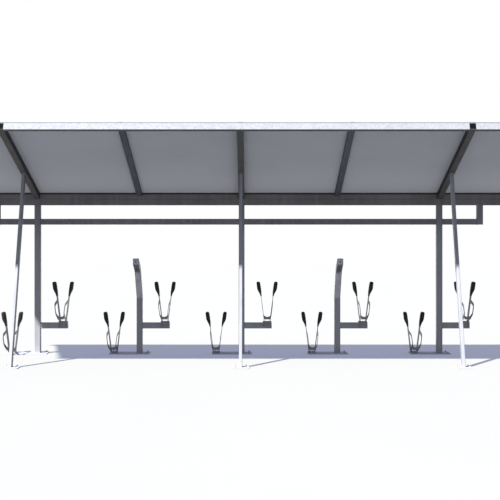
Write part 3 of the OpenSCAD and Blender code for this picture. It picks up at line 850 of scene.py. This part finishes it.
# black strip between the sheets and the rear edge, bay by bay: a painted shadow line
shadowLineStrip = {"tall": 0.021, "deep": 0.009, "sunk": 0.001, "steps": 6, "gap": 0.0015}
stops = [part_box("verge_left")[1][0]]
for name in ("rafter_left", "slim_rafter_left", "rafter_middle", "slim_rafter_right", "rafter_right"):
    stops += [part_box(name)[0][0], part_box(name)[1][0]]
stops.append(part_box("verge_right")[0][0])
stripTop = headTop + slope["plumb"]
stripLow = stripTop - shadowLineStrip["tall"]
pitch = math.tan(slope["angle"])
profile = [(shadowLineStrip["sunk"], stripLow)]
for k in range(shadowLineStrip["steps"] + 1):
    turn = math.pi / 2 * k / shadowLineStrip["steps"]
    bulge = shadowLineStrip["deep"] * math.sin(turn)
    profile.append((-bulge, stripLow + shadowLineStrip["tall"] / 2 * (1 - math.cos(turn))))
profile.append((-shadowLineStrip["deep"], stripTop + shadowLineStrip["deep"] * pitch))
profile.append((shadowLineStrip["sunk"], stripTop - shadowLineStrip["sunk"] * pitch))
shell = bmesh.new()
for x0, x1 in zip(stops[0::2], stops[1::2]):
    ends = (x0 + shadowLineStrip["gap"], x1 - shadowLineStrip["gap"])
    loftRings(shell, [[(x, postFront + y, z) for y, z in profile] for x in ends])
mergeShell(shell)
addShell("shadowLineStrip", shell, gripRubber)
print("closing strip laid")


# square boss with rounded corners, from pairs of inset and lift
def addBoss(shell, place, wide, corner, steps, levels, sharpest=0.001):
    rings = []
    for inset, lift in levels:
        side, rounding = wide - 2 * inset, max(corner - inset, sharpest)
        rings.append(roundedLoop(place @ Matrix.Translation((0.0, 0.0, lift)), side, side, rounding, steps))
    loftRings(shell, rings)


# black plugs in the open front ends of the outer rafters
endPlugs = {
    "wide": 0.0716, "corner": 0.004, "steps": 5, "deep": 0.018, "sink": 0.0006, "taper": 0.001,
    "edgeIn": 0.0015, "edgeDeep": 0.002, "rim": 0.004, "dish": 0.0025, "dishIn": 0.002,
}
e = endPlugs
levels = [(e["taper"], -e["deep"]), (0.0, -e["edgeDeep"]), (e["edgeIn"], 0.0), (e["rim"], 0.0),
          (e["rim"] + e["dishIn"], -e["dish"])]
shell = bmesh.new()
for x in (columnX[0], columnX[4]):
    spot = (x, -slope["length"] + e["sink"], slope["rafter"] / 2)
    place = slope["frame"] @ Matrix.Translation(spot) @ acrossY
    addBoss(shell, place, e["wide"], e["corner"], e["steps"], levels)
mergeShell(shell)
addShell("endPlugs", shell, plugPlastic)

# cap plate and plug on the upright nose end of each stand
noseCaps = {
    "wide": 0.068, "corner": 0.006, "steps": 5, "thick": 0.0028, "edge": 0.0008, "sunk": 0.001,
    "tubeHalf": 0.040, "slant": math.radians(64.4),
}
nosePlugs = {"half": 0.009, "steps": 6, "tall": 0.004, "sunk": 0.0006, "wall": 0.0012, "dome": 0.0024}
n, p = noseCaps, nosePlugs
capLevels = [(0.0, -n["sunk"]), (0.0, n["thick"] - n["edge"]), (n["edge"], n["thick"])]
plugLevels = [(0.0, n["thick"] - p["sunk"]), (0.0, n["thick"] + p["wall"]), (p["dome"], n["thick"] + p["tall"])]
caps, plugs = bmesh.new(), bmesh.new()
for name in ("stand_left", "stand_right"):
    low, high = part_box(name)
    noseZ = high[2] - n["tubeHalf"] / math.sin(n["slant"])
    place = Matrix.Translation((middle(name)[0], low[1], noseZ)) @ acrossY
    addBoss(caps, place, n["wide"], n["corner"], n["steps"], capLevels)
    addBoss(plugs, place, 2 * p["half"], p["half"], p["steps"], plugLevels)
mergeShell(caps)
mergeShell(plugs)
addShell("noseCaps", caps, capCoat)
addShell("nosePlugs", plugs, plugPlastic)
print("plugs and caps fitted")

# pale floor: what is seen, what it throws on the frame, and what gloss mirrors
stage = {
    "size": 120.0, "pale": tint(0.215, 0.208, 0.172), "paler": tint(0.225, 0.218, 0.180), "dapple": (0.35, 3.0),
    "lift": tint(0.228, 0.250, 0.368), "shine": tint(0.6, 0.6, 0.6), "fill": 0.30,
}
white = tint(1.0, 1.0, 1.0)
material, board, place = newFinish("paleFloor")
dapple = board.noise(place, *stage["dapple"])
ray = board.make("ShaderNodeLightPath", {}, {}, "Is Camera Ray")
ground = board.make("ShaderNodeBsdfDiffuse", {}, {"Color": board.blend(dapple, stage["pale"], stage["paler"])})
lift = board.make("ShaderNodeEmission", {}, {"Color": stage["lift"], "Strength": 1.0})
seen = board.make("ShaderNodeAddShader", {}, {0: ground, 1: lift})
shine = board.make("ShaderNodeBsdfDiffuse", {}, {"Color": stage["shine"]})
fill = board.make("ShaderNodeEmission", {}, {"Color": white, "Strength": stage["fill"]})
bounced = board.make("ShaderNodeMixShader", {}, {0: ray.side("Is Glossy Ray"), 1: fill, 2: shine})
both = board.make("ShaderNodeMixShader", {}, {0: ray, 1: bounced, 2: seen})
board.make("ShaderNodeOutputMaterial", {}, {"Surface": both})
material.cycles.emission_sampling = "NONE"
floorMesh = bpy.data.meshes.new("floor")
half = stage["size"] / 2
corners = [(-half, -half, 0.0), (half, -half, 0.0), (half, half, 0.0), (-half, half, 0.0)]
floorMesh.from_pydata(corners, [], [(0, 1, 2, 3)])
floorMesh.materials.append(material)
floor = bpy.data.objects.new("floor", floorMesh)
bpy.context.scene.collection.objects.link(floor)

light = {
    "sun": 12.0, "sunAngle": 1.6, "slant": (0.516, 0.521, -1.0), "sky": 0.55, "tint": tint(0.72, 0.77, 1.0),
    "backdrop": 1.0,
}
sun = bpy.data.lights.new("key", "SUN")
sun.energy = light["sun"]
sun.angle = math.radians(light["sunAngle"])
sunObject = bpy.data.objects.new("key", sun)
sunObject.rotation_euler = Vector(light["slant"]).to_track_quat("-Z", "Y").to_euler()
bpy.context.scene.collection.objects.link(sunObject)

world = bpy.data.worlds.new("studio")
world.use_nodes = True
bpy.context.scene.world = world
sky = Board(world.node_tree)
ray = sky.make("ShaderNodeLightPath", {}, {}, "Is Camera Ray")
dome = sky.make("ShaderNodeBackground", {}, {"Color": light["tint"], "Strength": light["sky"]})
wall = sky.make("ShaderNodeBackground", {}, {"Color": white, "Strength": light["backdrop"]})
seen = sky.make("ShaderNodeMixShader", {}, {0: ray, 1: dome, 2: wall})
sky.make("ShaderNodeOutputWorld", {}, {"Surface": seen})
bpy.context.scene.view_settings.view_transform = "Standard"

view = {
    "lens": 72.0, "sensor": 36.0, "across": 0.1545, "back": 13.8, "eye": 1.5635, "shiftX": 0.0007,
    "shiftY": -0.019, "far": 300.0,
}
camera = bpy.data.cameras.new("camera")
camera.lens = view["lens"]
camera.sensor_width = view["sensor"]
camera.shift_x = view["shiftX"]
camera.shift_y = view["shiftY"]
camera.clip_end = view["far"]
cameraObject = bpy.data.objects.new("camera", camera)
cameraObject.location = (view["across"], postFront - view["back"], view["eye"])
cameraObject.rotation_euler = (math.radians(90), 0.0, 0.0)
bpy.context.scene.collection.objects.link(cameraObject)
bpy.context.scene.camera = cameraObject
print("stage, light and camera set")
